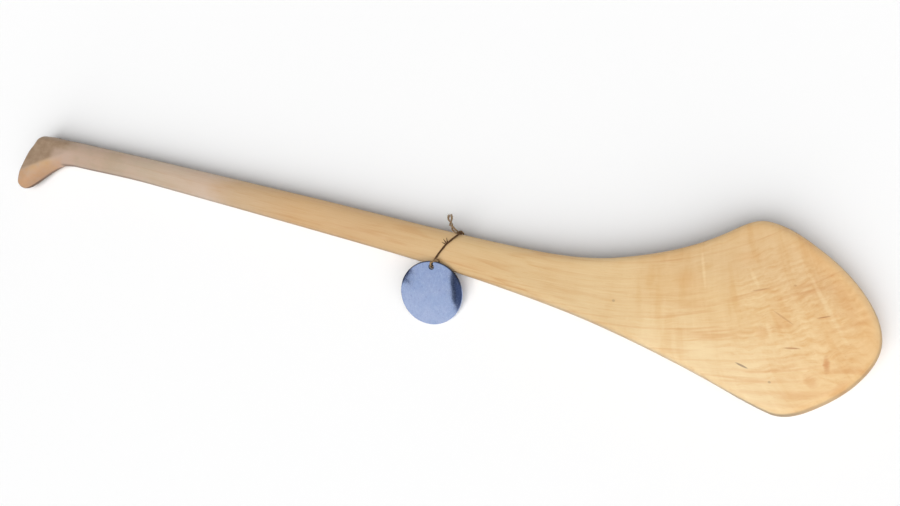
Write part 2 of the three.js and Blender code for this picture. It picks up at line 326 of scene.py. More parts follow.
# The way over the face, round below the handle and out along the two tails
OVER_THE_FACE = [
    (575.3, -4.1, 20.6), (574.2, -6, 21.5), (572.7, -8.6, 22.4), (571, -11.4, 22.9),
    (569.2, -14, 23.2), (566.7, -19.4, 23.2), (564.6, -23.6, 22.8), (563, -27, 22.2),
]
LOOP_MIDDLE_Y = -16.75
LOOP_HALF_WIDTH = 17.75
LOOP_HALF_THICKNESS = 11.1
LOOP_SQUARENESS = 2.6
LOOP_ANGLES = (146, 386)
LOOP_X = (566.8, 574.5)
LOOP_POINTS = 17
TAILS_AXIS = [
    (560.9, 11.9, 18.2), (562.6, 8.4, 18.8), (564.6, 5, 19.6),
    (568.1, 1.6, 20.3), (570.6, -0.2, 20.6), (573.4, -1.4, 20.4),
]
TAIL_OFFSET = 0.98
TIP_SPREAD = 0.7
TIP_SPREAD_SHARE = 0.14
TAILS_TWIST = (0.12, 0.85)
TAIL_POINTS = 17
TAIL_FINE_STEP = 0.05

# Where the twine's tones change
FREE_END = 16.0
FREE_END_FADE = 3.0
FACE_FADE_IN = 2.0
FACE_FADE_OUT = (1.0, 3.0)
HOLE_SHADE_REACH = 2.2
KNOT_SHADE_REACH = 4.5
KNOT_SHADE = 0.7

# Stray fibres: how many, and how far they start from the middle, lean, reach and curl
FUZZ_SEED = 11
FUZZ_COUNT = 260
FUZZ_MARGIN = 4
FUZZ_START = 0.55
FUZZ_LEAN = 0.9
FUZZ_REACH = (3.0, 0.28)
FUZZ_LEAST_REACH = 0.3
FUZZ_CURL = 0.35
FUZZ_STEPS = 6
FUZZ_SIDES = 3
FUZZ_RADII = (0.05, 0.015)
FUZZ_LOWEST = 0.1

# The brush of fibres at each end
BRUSH_COUNT = 26
BRUSH_SPREAD = 0.35
BRUSH_START = 1.2
BRUSH_REACH = (1.2, 2.6)
BRUSH_CURL = 0.4

# Splinters on the front strand, each from its foot to its tip
SPLINTER_RADII = (0.55, 0.2)
SPLINTER_SIDES = 5
SPLINTERS = [
    ((569.6, -13.4, 23.7), (566.0, -10.6, 25.0)), ((570.2, -12.6, 23.7), (568.6, -8.8, 24.8)),
    ((569.2, -14.2, 23.8), (565.4, -13.5, 24.6)),
]

TWINE_BROWNS = (rgb(104, 72, 44), rgb(168, 136, 96))
TWINE_TANS = (rgb(112, 94, 68), rgb(186, 160, 128))
TWINE_PALE = rgb(206, 178, 138)
TWINE_OVER_FACE = rgb(80, 50, 28)
TWINE_SHADED = rgb(66, 46, 32)
TWINE_FURROW_SHADE = rgb(52, 34, 20)


def unit(vectors):
    """Each vector divided by its length."""
    vectors = np.asarray(vectors, float)
    return vectors / np.linalg.norm(vectors, axis=-1, keepdims=True)


def tag_axes():
    """The tag's own axes: z out of its face, y from its centre to the hole, x along the rim."""
    z = unit([np.tan(np.radians(TAG_TIP)), -np.tan(np.radians(TAG_LEAN)), 1.0])
    y = np.array([np.cos(np.radians(HOLE_HEADING)), np.sin(np.radians(HOLE_HEADING)), 0.0])
    y[2] = -(y @ z) / z[2]
    y = unit(y)
    return np.cross(y, z), y, z


def smoothstep(value, start, end):
    """0 before the start, 1 past the end, and three squares less two cubes between them."""
    u = np.clip((value - start) / (end - start), 0, 1)
    return u * u * (3 - 2 * u)


def turn_round_the_rim():
    """A circle about the middle of the rim margin that shifts along the rim on its front half.

    It swells by a bell where it goes through the hole, so that it runs near the hole's middle.
    """
    x, y, z = tag_axes()
    centre = TAG_CENTRE + y * (TAG_RADIUS - HOLE_MARGIN / 2)
    shift = TURN_SHIFT * smoothstep(-TURN_ANGLES, -TURN_SHIFTED[0], -TURN_SHIFTED[1])
    angle = np.radians(TURN_ANGLES)[:, None]
    bell = np.exp(-(((TURN_ANGLES - TURN_SWELL_AT) / TURN_SWELL_WIDTH) ** 2))
    radius = TURN_RADIUS + TURN_SWELL * bell[:, None]
    return centre + shift[:, None] * x + radius * (np.cos(angle) * y + np.sin(angle) * z)


def round_below():
    """Most of a rounded oval about the handle that moves along the handle as it goes round."""
    angle = np.radians(np.linspace(*LOOP_ANGLES, LOOP_POINTS))
    circle = np.stack([np.cos(angle), np.sin(angle)])
    oval_y, oval_z = np.sign(circle) * abs(circle) ** (2 / LOOP_SQUARENESS)
    return np.stack([
        np.linspace(*LOOP_X, LOOP_POINTS),
        LOOP_MIDDLE_Y + LOOP_HALF_WIDTH * oval_y,
        MID_HEIGHT + LOOP_HALF_THICKNESS * oval_z,
    ], -1)


def smooth_path(points, step):
    """A centripetal cubic through the points, sampled at equal steps of its length."""
    p = np.asarray(points, float)
    p = np.concatenate([[2 * p[0] - p[1]], p, [2 * p[-1] - p[-2]]])
    gap = np.linalg.norm(np.diff(p, axis=0), axis=1)[:, None] ** 0.5
    before, here, after = gap[:-2], gap[1:-1], gap[2:]
    p0, p1, p2, p3 = p[:-3], p[1:-2], p[2:-1], p[3:]
    leave = ((p1 - p0) / before - (p2 - p0) / (before + here) + (p2 - p1) / here) * here
    arrive = ((p2 - p1) / here - (p3 - p1) / (here + after) + (p3 - p2) / after) * here
    t = np.linspace(0, 1, CURVE_STEPS, endpoint=False)[None, :, None]
    leave, arrive, start, end = (a[:, None, :] for a in (leave, arrive, p1, p2))
    curve = ((2 * t ** 3 - 3 * t ** 2 + 1) * start + (t ** 3 - 2 * t ** 2 + t) * leave
             + (3 * t ** 2 - 2 * t ** 3) * end + (t ** 3 - t ** 2) * arrive).reshape(-1, 3)
    curve = np.concatenate([curve, p[-2:-1]])
    length = np.concatenate([[0], np.cumsum(np.linalg.norm(np.diff(curve, axis=0), axis=1))])
    along = np.linspace(0, length[-1], max(2, round(length[-1] / step) + 1))
    return np.stack([np.interp(along, length, curve[:, k]) for k in range(3)], -1), along


def cross_axes(path):
    """For each point of a path, its direction and two directions square to it."""
    ahead = unit(np.gradient(path, axis=0))
    side = np.array([1.0, 0, 0]) - ahead[:, :1] * ahead
    side = unit(side)
    return ahead, side, np.cross(ahead, side)


def tube(path, radius, sides):
    """Circles of the given radius round each point of a path, closed by a point at both ends."""
    _, side, up = cross_axes(path)
    angle = np.linspace(0, 2 * np.pi, sides, endpoint=False)[None, :, None]
    radius = np.broadcast_to(radius, len(path))[:, None, None]
    rings = path[:, None] + radius * (np.cos(angle) * side[:, None] + np.sin(angle) * up[:, None])
    vertices = np.concatenate([rings.reshape(-1, 3), path[:1], path[-1:]])
    quads = grid_faces(len(path), sides)
    ring = np.arange(sides)
    after = (ring + 1) % sides
    last = (len(path) - 1) * sides
    first_cap = np.stack([np.full(sides, len(vertices) - 2), after, ring], -1)
    last_cap = np.stack([np.full(sides, len(vertices) - 1), last + ring, last + after], -1)
    return vertices, quads, np.concatenate([first_cap, last_cap])


def joined(parts):
    """Several (vertices, quads, triangles) as one."""
    count = np.cumsum([0] + [len(p[0]) for p in parts])
    vertices = np.concatenate([p[0] for p in parts])
    quads = np.concatenate([p[1] + n for p, n in zip(parts, count)])
    triangles = np.concatenate([p[2] + n for p, n in zip(parts, count)])
    return vertices, quads, triangles


def twisted(path, along):
    """Plies that each circle a path once in a pitch, and open out and thin at its ends."""
    _, side, up = cross_axes(path)
    ends = np.minimum(along, along[-1] - along)
    offset = PLY_OFFSET * (1 + FRAY_OPENING * np.exp(-((ends / FRAY_REACH) ** 2)))[:, None]
    radius = PLY_RADIUS * (1 - TIP_THINNING * np.exp(-((ends / TIP_REACH) ** 2)))
    parts = []
    for ply in range(PLY_COUNT):
        angle = 2 * np.pi * (along / TWIST_PITCH + ply / PLY_COUNT)[:, None]
        centre = path + offset * (np.cos(angle) * side + np.sin(angle) * up)
        parts.append(tube(centre, radius, PLY_SIDES))
    return joined(parts)


def twine_paint():
    """Dry twisted fibre: mottled brown, tan at its free ends, darker on the face, with painted shade
    in the tag's hole, near the knot and in its furrows.
    """
    paint = Paint("dry_twine")
    over_face, free_end, shaded = paint.attribute("stretch").parts()
    spot = paint.node("ShaderNodeTexCoord", {}, {}, "Object").scaled(1 / MM, 1 / MM, 1 / MM)
    broad = paint.noise(spot, 2, 0.5, 0.16)
    fibre = paint.noise(spot, 3, 0.65, 2.6)
    brown = paint.mix(broad.ramp(0.35, 0.68), *TWINE_BROWNS)
    colour = paint.mix(fibre.ramp(0.3, 0.75) * 0.55, brown, TWINE_PALE)
    tan = paint.mix(fibre.ramp(0.35, 0.6), *TWINE_TANS)
    colour = paint.mix(free_end * 0.75, colour, tan)
    colour = paint.mix(over_face * 0.88, colour, TWINE_OVER_FACE)
    # Painted shade in the tag's hole and by the knot
    colour = paint.mix(shaded * 0.9, colour, TWINE_SHADED)
    # Painted shade in the furrows, where the bump is lowest
    colour = paint.mix(fibre.ramp(0.5, 0.2) * 0.6, colour, TWINE_FURROW_SHADE)
    paint.set(Base_Color=colour, Roughness=0.92, Normal=paint.bump(fibre, 0.0003, 0.7))
    paint.set(Specular_IOR_Level=0.25)
    return paint.material


def tail_points(phase):
    """One free end, tip first: once round the tails' axis, spread away from it near the tip."""
    fine, _ = smooth_path(TAILS_AXIS, TAIL_FINE_STEP)
    share = np.linspace(0, 1, TAIL_POINTS)
    pick = np.round(share * (len(fine) - 1)).astype(int)
    ahead = unit(np.gradient(fine, axis=0))[pick]
    side = unit(np.cross(ahead, [0, 0, 1]))
    up = np.cross(side, ahead)
    angle = (phase + 2 * np.pi * smoothstep(share, *TAILS_TWIST))[:, None]
    bulge = np.exp(-(((share - TIP_SPREAD_SHARE) / TIP_SPREAD_SHARE) ** 2) * 2)
    offset = (TAIL_OFFSET + TIP_SPREAD * bulge)[:, None]
    return fine[pick] + offset * (np.cos(angle) * side + np.sin(angle) * up)


def stray_fibres(start, heading, reach, curl):
    """Thin tapering lines that leave their starts along their headings and curl away."""
    t = np.linspace(0, 1, FUZZ_STEPS)[None, :, None]
    lines = start[:, None] + reach[:, None] * (t * heading[:, None] + t ** 2 * curl[:, None])
    lines[..., 2] = np.maximum(lines[..., 2], FUZZ_LOWEST)
    return [tube(line, np.linspace(*FUZZ_RADII, FUZZ_STEPS), FUZZ_SIDES) for line in lines]


def make_fuzz(path, generator, material):
    """Short stray fibres all along the twine, a brush of them at each end and a few splinters."""
    ahead, side, up = cross_axes(path)
    picks = generator.integers(FUZZ_MARGIN, len(path) - FUZZ_MARGIN, FUZZ_COUNT)
    turn = generator.uniform(0, 2 * np.pi, FUZZ_COUNT)[:, None]
    out = np.cos(turn) * side[picks] + np.sin(turn) * up[picks]
    lean = generator.normal(0, FUZZ_LEAN, (FUZZ_COUNT, 1))
    reach = generator.gamma(*FUZZ_REACH, (FUZZ_COUNT, 1)) + FUZZ_LEAST_REACH
    curl = generator.normal(0, FUZZ_CURL, (FUZZ_COUNT, 3))
    parts = stray_fibres(
        path[picks] + FUZZ_START * out, unit(out + lean * ahead[picks]), reach, curl)
    for tip, outward in ((0, -1), (-1, 1)):
        spread = generator.normal(0, BRUSH_SPREAD, (BRUSH_COUNT, 3))
        start = path[tip] + BRUSH_START * (spread - outward * ahead[tip])
        heading = unit(outward * ahead[tip] + spread)
        reach = generator.uniform(*BRUSH_REACH, (BRUSH_COUNT, 1))
        parts += stray_fibres(start, heading, reach, spread * BRUSH_CURL)
    thinning = np.linspace(*SPLINTER_RADII, FUZZ_STEPS)
    splinters = [
        tube(np.linspace(*np.array(ends), FUZZ_STEPS), thinning, SPLINTER_SIDES)
        for ends in SPLINTERS
    ]
    vertices, quads, triangles = joined(parts + splinters)
    fuzz = make_mesh("twine_fuzz", place(vertices), quads, triangles, "twine", material)
    stretch = np.zeros((len(vertices), 3))
    stretch[-sum(len(part[0]) for part in splinters):, 0] = 1
    add_vector(fuzz, "stretch", stretch)
    return fuzz


def make_knot(material):
    """The knot: close turns of the twine, widest in the middle, about a slightly swaying core."""
    angle = np.linspace(0, 2 * np.pi * KNOT_TURNS, KNOT_STEPS)
    swell = np.sin(np.linspace(0, np.pi, KNOT_STEPS)) ** 0.5
    radius = KNOT_RADIUS + KNOT_SWELL * swell
    x = np.linspace(-KNOT_HALF_LENGTH, KNOT_HALF_LENGTH, KNOT_STEPS)
    coil = np.stack([x, radius * np.cos(angle), radius * np.sin(angle)], -1) + KNOT_CENTRE
    core_x = np.linspace(-CORE_HALF_LENGTH, CORE_HALF_LENGTH, CORE_STEPS)
    core_y = CORE_SWAY * np.sin(core_x * CORE_WAVES)
    core = np.stack([core_x, core_y, np.zeros(CORE_STEPS)], -1) + KNOT_CENTRE
    vertices, quads, triangles = joined(
        [tube(coil, KNOT_TUBE, PLY_SIDES), tube(core, CORE_TUBE, PLY_SIDES)])
    knot = make_mesh("twine_knot_turns", place(vertices), quads, triangles, "twine", material)
    add_vector(knot, "stretch", np.tile(KNOT_STRETCH, (len(vertices), 1)))
    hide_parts("twine_knot")
    return knot


def stretches(path, along):
    """For each point of the twine: how far on the handle's face, a free end, and in painted shade.

    It takes painted shade in the tag's hole and close to the knot.
    """
    nearest = [np.linalg.norm(path - point, axis=1).argmin() for point in OVER_THE_FACE]
    first, last = along[nearest[0]], along[nearest[-1]]
    before, after = FACE_FADE_OUT
    over_face = smoothstep(along, first - FACE_FADE_IN, first)
    over_face = over_face * (1 - smoothstep(along, last - before, last + after))
    ends = np.minimum(along, along[-1] - along)
    free_end = 1 - smoothstep(ends, FREE_END - FREE_END_FADE, FREE_END)
    _, y, z = tag_axes()
    hole = TAG_CENTRE + y * HOLE_Y + z * TAG_THICKNESS / 2
    to_hole = np.linalg.norm(path - hole, axis=1)
    to_knot = np.linalg.norm(path - KNOT_CENTRE, axis=1)
    # Painted shade in the tag's hole and close to the knot
    shaded = np.exp(-((to_hole / HOLE_SHADE_REACH) ** 4))
    shaded = shaded + KNOT_SHADE * np.exp(-((to_knot / KNOT_SHADE_REACH) ** 4))
    return np.stack([over_face, free_end, shaded], -1)


def make_twine():
    """The whole length of twine, from one frayed end through the knot and the tag to the other."""
    route = np.concatenate([
        tail_points(0.0), [KNOT_CENTRE], OVER_THE_FACE, turn_round_the_rim(), round_below(),
        [KNOT_CENTRE], tail_points(np.pi)[::-1],
    ])
    path, along = smooth_path(route, TWINE_STEP)
    material = twine_paint()
    vertices, quads, triangles = twisted(path, along)
    twine = make_mesh("twine", place(vertices), quads, triangles, "twine", material)
    for_path = stretches(path, along)
    for_ply = np.concatenate([np.repeat(for_path, PLY_SIDES, axis=0), for_path[[0, -1]]])
    add_vector(twine, "stretch", np.tile(for_ply, (PLY_COUNT, 1)))
    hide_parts("twine_loop", "twine_tail_long", "twine_tail_short")
    fuzz = make_fuzz(path, np.random.default_rng(FUZZ_SEED), material)
    knot = make_knot(material)
    print(f"twine: {along[-1]:.1f} mm from end to end")
    return twine, knot, fuzz


# The stick

# Half thicknesses, edge rolls and facets, and the stretches of X where they change
HANDLE_HALF = 10.1
BAS_HALF = 12.0
KNOB_HALF = 12.0
TOE_THINNING = 5.5
KNOB_FADE = (45, 90)
THROAT_SWELL = (600, 690)
EDGE_CHANGE = (590, 730)
TOE_TAPER = (790, 914)
TOE_TAPER_POWER = 1.5
HANDLE_ROLL = 14.0
KNOB_ROLL = 8.0
HEEL_ROLL = 5.0
TOE_ROLL = 9.0
OVAL = 2.0
SQUARER = 2.6
RIDGE_INNER = np.array([66.0, -22.0])
RIDGE_OUTER = np.array([14.0, -48.0])
RIDGE_SOFTNESS = 2.5
UPPER_FACET_SLOPE = 0.1
LOWER_FACET_SLOPE = 0.27

# Paired points of the upper and the lower edge: x, y and heading in degrees, then the sections
STATIONS = [
    ((10.4, -31, 88), (10.4, -31, -92), 40),
    ((14.2, -16, 65), (10, -50, -90), 30),
    ((18.5, -5.4, 34), (14, -64.5, -26), 22),
    ((25, -2.4, 3), (28.2, -60.6, 40), 28),
    ((45, -1.2, -1), (49, -39.4, 38), 22),
    ((66, -1.2, 2), (66, -30.3, 11), 22),
    ((90, -0.6, 0), (89, -27.5, 0.7), 24),
    ((200, 0, 0), (200, -25.6, -0.8), 30),
    ((400, 0, 0), (400, -28.9, -1.1), 36),
    ((630, -0.4, 1.3), (620, -36.3, -4), 30),
    ((717.5, 9.8, 17.2), (721, -46.6, -9), 30),
    ((792.5, 46.1, 38), (798, -61.3, -12.5), 40),
    ((819, 60.6, 0), (855, -74.2, -8), 44),
    ((862, 46.6, -27), (880.5, -64.3, 39), 40),
    ((900, 18.3, -48.2), (904.8, -38.3, 58.6), 44),
    ((914, -11.6, -90), (914, -11.6, 90), 0),
]
ROLL_STEPS = 12
FACE_STEPS = 14

# How the search for places across a chord works
CROWN_TRIES = 33
HALVINGS = 15
ROLL_SHARE = 0.9
POINTS_AT_ONCE = 2000

# How the grain rises past the throat
RISE_START = 600.0
RISE_LENGTH = 233.0
RISE_HEIGHT = 45.9
RISE_POWER = 3.34
RISE_AT_TOP = 1.339
RISE_DEPTH = 26.66


def edge_points(start, end, steps):
    """A cubic from one edge point to the next that leaves and arrives along their headings."""
    p0, p3 = np.array(start[:2], float), np.array(end[:2], float)
    reach = np.linalg.norm(p3 - p0) / 3
    out, back = np.radians(start[2]), np.radians(end[2])
    p1 = p0 + reach * np.array([np.cos(out), np.sin(out)])
    p2 = p3 - reach * np.array([np.cos(back), np.sin(back)])
    t = np.linspace(0, 1, steps, endpoint=False)[:, None]
    return (1 - t) ** 3 * p0 + 3 * t * (1 - t) ** 2 * p1 + 3 * t ** 2 * (1 - t) * p2 + t ** 3 * p3


def rails():
    """The upper and the lower edge as two lists of paired points."""
    edges = []
    for side in (0, 1):
        parts = [
            edge_points(here[side], after[side], here[2])
            for here, after in zip(STATIONS[:-1], STATIONS[1:])
        ]
        edges.append(np.concatenate([*parts, [STATIONS[-1][side][:2]]]))
    return edges


def distance_to_outline(points, outline):
    """Shortest distance in plan from each point to the closed outline."""
    start = outline
    step = np.roll(outline, -1, axis=0) - start
    square = (step ** 2).sum(1)
    shape = points.shape[:-1]
    flat = points.reshape(-1, 2)
    best = np.empty(len(flat))
    for first in range(0, len(flat), POINTS_AT_ONCE):
        batch = slice(first, first + POINTS_AT_ONCE)
        away = flat[batch, None] - start
        t = np.clip((away * step).sum(-1) / square, 0, 1)
        gap = away - t[..., None] * step
        best[batch] = np.sqrt((gap ** 2).sum(-1).min(1))
    return best.reshape(shape)


def knob_amount(x):
    """1 on the knob, falling softly to 0 on the handle."""
    return 1 - smoothstep(x, *KNOB_FADE)


def half_thickness(x):
    """Half the thickness in the middle of the section at x."""
    swell = (KNOB_HALF - HANDLE_HALF) * knob_amount(x)
    swell = swell + (BAS_HALF - HANDLE_HALF) * smoothstep(x, *THROAT_SWELL)
    toe = np.clip((x - TOE_TAPER[0]) / (TOE_TAPER[1] - TOE_TAPER[0]), 0, 1)
    return HANDLE_HALF + swell - TOE_THINNING * toe ** TOE_TAPER_POWER


def ridge_side(points):
    """Distance from the knob's ridge line: below it positive, above it negative."""
    line = unit(RIDGE_OUTER - RIDGE_INNER)
    away = points - RIDGE_INNER
    return away[..., 1] * line[0] - away[..., 0] * line[1]


def facet_fall(points):
    """How far the knob's two pared facets fall below its ridge."""
    side = ridge_side(points)
    slope = np.where(side < 0, UPPER_FACET_SLOPE, LOWER_FACET_SLOPE)
    return slope * (np.hypot(side, RIDGE_SOFTNESS) - RIDGE_SOFTNESS) * knob_amount(points[..., 0])


def roll_width(x, across):
    """Width of the roll at the edge: wide on the oval handle, narrow on the knob and the bas."""
    bas_roll = HEEL_ROLL + (TOE_ROLL - HEEL_ROLL) * across
    bas = smoothstep(x, *EDGE_CHANGE)
    width = HANDLE_ROLL + (bas_roll - HANDLE_ROLL) * bas
    return width + (KNOB_ROLL - width) * knob_amount(x)


def face_height(points, across, distance):
    """Height of the face above the middle plane: rolled over to nothing at the outline."""
    x = points[..., 0]
    power = OVAL + (SQUARER - OVAL) * smoothstep(x, *EDGE_CHANGE)
    inside = np.clip(distance / roll_width(x, across), 0, 1)
    full = half_thickness(x) - facet_fall(points)
    return full * (1 - (1 - inside) ** power) ** (1 / power)


def places_across(lower, upper, outline):
    """Fractions across each chord, closest together where the face rolls over."""
    chord = (upper - lower)[:, None]

    def depth(t):
        return distance_to_outline(lower[:, None] + t[..., None] * chord, outline)

    tries = np.broadcast_to(np.linspace(0, 1, CROWN_TRIES), (len(lower), CROWN_TRIES))
    depths = depth(tries)
    crown = tries[np.arange(len(lower)), depths.argmax(1)][:, None]
    deepest = depths.max(1)[:, None]
    sides = []
    for edge in (0.0, 1.0):
        x = lower[:, :1] + edge * (upper - lower)[:, :1]
        reach = np.minimum(roll_width(x, edge), ROLL_SHARE * deepest)
        turn = np.pi / 2 * np.arange(1, ROLL_STEPS + 1) / ROLL_STEPS
        target = reach * (1 - np.cos(turn))
        near = np.full(target.shape, edge)
        far = np.broadcast_to(crown, target.shape).copy()
        for _ in range(HALVINGS):
            middle = (near + far) / 2
            short = depth(middle) < target
            near = np.where(short, middle, near)
            far = np.where(short, far, middle)
        sides.append((near + far) / 2)
    low, high = sides[0], sides[1][:, ::-1]
    share = np.arange(1, FACE_STEPS) / FACE_STEPS
    face = low[:, -1:] + share * (high[:, :1] - low[:, -1:])
    ends = np.zeros((len(lower), 1))
    return np.concatenate([ends, low, face, high, ends + 1], 1)


def grain_place(points):
    """Where a point lies in the plank's grain, in millimetres: along, across and through it.

    The grain runs straight along the handle. Past the throat it rises by a power of the distance
    from the throat's start, most at the lower edge, so that across is what is left of y when that
    rise is taken off. Along is measured square to the rise.
    """
    x, y, z = points[:, 0], points[:, 1], points[:, 2]
    past = np.clip((x - RISE_START) / RISE_LENGTH, 0, None)
    rise = RISE_HEIGHT * past ** RISE_POWER
    slope = RISE_POWER * RISE_HEIGHT / RISE_LENGTH * past ** (RISE_POWER - 1)
    fan = RISE_AT_TOP - 1
    across = (y - RISE_AT_TOP * rise) / (1 + fan * rise / RISE_DEPTH)
    along = x + slope * (y + RISE_DEPTH)
    return np.stack([along, across, z - MID_HEIGHT], -1)


def facet_values(stick, vertices, depth):
    """For each vertex its distance to the knob's ridge, how far it faces up and its depth."""
    normals = np.empty(len(vertices) * 3)
    stick.data.vertices.foreach_get("normal", normals)
    values = np.zeros((len(vertices), 3))
    values[:, 0] = ridge_side(vertices[:, :2])
    values[:, 1] = normals[2::3]
    values[:-2, 2] = np.concatenate([depth, depth[:, -2:0:-1]], 1).ravel()
    return values


def make_stick():
    """The loft between the two edges, its faces rolled over, closed to a point at each end."""
    upper, lower = rails()
    outline = np.concatenate([upper, lower[-2:0:-1]])
    high, low = upper[1:-1], lower[1:-1]
    across = places_across(low, high, outline)
    top = low[:, None] + across[..., None] * (high - low)[:, None]
    depth = distance_to_outline(top, outline)
    height = face_height(top, across, depth)
    height[:, [0, -1]] = 0
    over = np.concatenate([top, height[..., None]], -1)
    under = over[:, -2:0:-1] * (1, 1, -1)
    rings = np.concatenate([over, under], 1)
    ends = np.array([[*upper[0], 0], [*upper[-1], 0]])
    vertices = np.concatenate([rings.reshape(-1, 3), ends]) + (0, 0, MID_HEIGHT)
    rows, columns = rings.shape[:2]
    quads = grid_faces(rows, columns)[:, ::-1]
    ring = np.arange(columns)
    after = (ring + 1) % columns
    last = (rows - 1) * columns
    first_cap = np.stack([np.full(columns, len(vertices) - 2), ring, after], -1)
    last_cap = np.stack([np.full(columns, len(vertices) - 1), last + after, last + ring], -1)
    caps = np.concatenate([first_cap, last_cap])
    stick = make_mesh("bare_ash_stick", place(vertices), quads, caps, "stick", ash_paint())
    add_vector(stick, "grain", grain_place(vertices))
    add_vector(stick, "drawn", vertices)
    add_vector(stick, "facet", facet_values(stick, vertices, depth))
    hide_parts("ash_stick")
    return stick


# Wood tones from the knob's end to the toe, as x in millimetres and colour
TONES = [
    (60, rgb(180, 156, 136)), (105, rgb(190, 169, 152)), (150, rgb(191, 170, 149)),
    (221, rgb(203, 182, 159)), (285, rgb(210, 187, 167)), (325, rgb(204, 174, 138)),
    (408, rgb(213, 175, 128)), (470, rgb(213, 175, 128)), (600, rgb(224, 190, 140)),
    (700, rgb(230, 197, 146)), (800, rgb(234, 198, 144)), (914, rgb(240, 200, 144)),
]

# What streaks do to the tone under them, and the painted shade on the upper side of the throat and
# bas, as factors for red, green and blue
WARM_SHADE = (0.92, 0.8, 0.65, 1.0)
DEEP_SHADE = (0.83, 0.6, 0.42, 1.0)
PALE_LIFT = (1.06, 1.11, 1.18, 1.0)
TOP_PAINTED_SHADE = (0.93, 0.91, 0.92, 1.0)

# Growth lines that stand out in the bas: across the grain, from x, to x, half width, strength
GROWTH_LINES = [
    (-30.5, 590, 680, 0.7, 0.4), (-38.6, 615, 705, 0.8, 0.45), (-25.0, 640, 700, 0.6, 0.3),
    (-2.4, 600, 833, 1.0, 0.5), (-13.0, 660, 740, 0.7, 0.25), (-27.0, 738, 761, 0.7, 0.35),
    (-31.5, 816, 833, 0.7, 0.5), (-34.0, 560, 665, 0.9, 0.6), (-37.5, 720, 790, 0.8, 0.35),
    (-39.6, 846, 862, 0.7, 0.4), (-43.0, 630, 725, 1.0, 0.7), (-47.8, 700, 803, 1.0, 0.75),
    (-50.0, 795, 816, 0.8, 0.5), (-54.5, 730, 830, 0.8, 0.35), (-59.0, 885, 908, 1.9, 0.5),
    (-61.0, 763, 795, 0.9, 0.55), (-66.0, 790, 870, 0.8, 0.35), (-71.5, 838, 876, 1.0, 0.45),
    (-76.4, 822, 876, 0.9, 0.4), (-80.5, 836, 900, 1.4, 0.75), (-84.4, 850, 880, 1.1, 0.45),
]

# Small marks on the upper face: x, y, length, width, turn in degrees, strength and colour
DARK_FLECK = rgb(142, 112, 96)
RED_FLECK = rgb(180, 118, 72)
PALE_FLECK = rgb(255, 232, 184)
MARKS = [
    (830.2, -47.6, 9.0, 1.4, -11, 0.7, DARK_FLECK), (874.5, -0.1, 9.0, 0.9, 25, 0.7, RED_FLECK),
    (859.7, -26.7, 10.5, 1.2, 13, 0.65, RED_FLECK), (850.7, 17.0, 2.0, 1.4, 0, 0.35, RED_FLECK),
    (851.4, -53.7, 2.2, 1.5, 0, 0.4, DARK_FLECK), (725.6, -25.5, 2.6, 2.0, 0, 0.35, DARK_FLECK),
    (828.3, 8.3, 12.5, 1.1, 25, 0.45, RED_FLECK), (848.8, -7.2, 16.0, 1.2, -22, 0.35, RED_FLECK),
    # The last mark is painted shade in the crease at the knob's inner corner
    (72.5, -29.3, 9.5, 1.5, -3, 0.85, rgb(104, 80, 62)),
]

# Soft patches on the upper face, as for the marks
ORANGE = rgb(222, 160, 96)
PATCHES = [
    (884.4, -32.0, 14.0, 4.6, -76, 0.75, rgb(212, 142, 82)),
    (877.2, -45.5, 12.0, 8.0, -31, 0.5, ORANGE), (897.0, -44.0, 14.0, 6.0, 50, 0.4, ORANGE),
    (872.0, -58.5, 30.0, 4.6, 18, 0.4, ORANGE), (785.5, 13.0, 30.0, 2.6, -69, 0.3, PALE_FLECK),
    (822.0, 16.0, 17.0, 3.2, -52, 0.28, PALE_FLECK), (842.5, -19.0, 13.0, 4.4, -59, 0.4, PALE_FLECK),
    (846.0, -9.0, 12.0, 7.0, -40, 0.25, ORANGE), (838.0, -22.0, 12.0, 8.0, -60, 0.25, ORANGE),
    (779.0, 2.0, 26.0, 15.0, 0, 0.2, ORANGE), (880.0, 2.0, 12.0, 4.0, 30, 0.3, ORANGE),
    (874.5, 7.5, 80.0, 3.4, -49, 0.24, PALE_FLECK), (886.0, 12.0, 44.0, 9.0, -52, 0.25, ORANGE),
    (800.0, -44.0, 22.0, 16.0, 0, 0.25, PALE_FLECK), (815.0, 30.0, 22.0, 9.0, 20, 0.2, ORANGE),
]

# Other tones: the bas, the knob, and painted light and shade at the knob's ridge and along the edges
PALE_LOW = rgb(255, 228, 180)
LOW_END = rgb(250, 208, 148)
END_BAND = rgb(234, 180, 112)
GRIP_PINK_GREYS = (rgb(184, 164, 140), rgb(200, 172, 152))
LOWER_FACET = (rgb(190, 162, 140), rgb(194, 153, 116))
UPPER_FACET_BROWNS = (rgb(150, 124, 98), rgb(168, 143, 118))
RIDGE_ORANGE_AND_HIGHLIGHT = rgb(212, 172, 122)
INNER_CURVE = rgb(200, 174, 158)
LIP_PAINTED_LIGHT = rgb(206, 160, 122)
UNDER_LIP_PAINTED_SHADE = rgb(96, 72, 54)
TOE_EDGE_PAINTED_LIGHT = rgb(255, 222, 170)
SIDES_PAINTED_SHADE = rgb(150, 122, 100)
OUTLINE_PAINTED_SHADE = rgb(104, 80, 60)

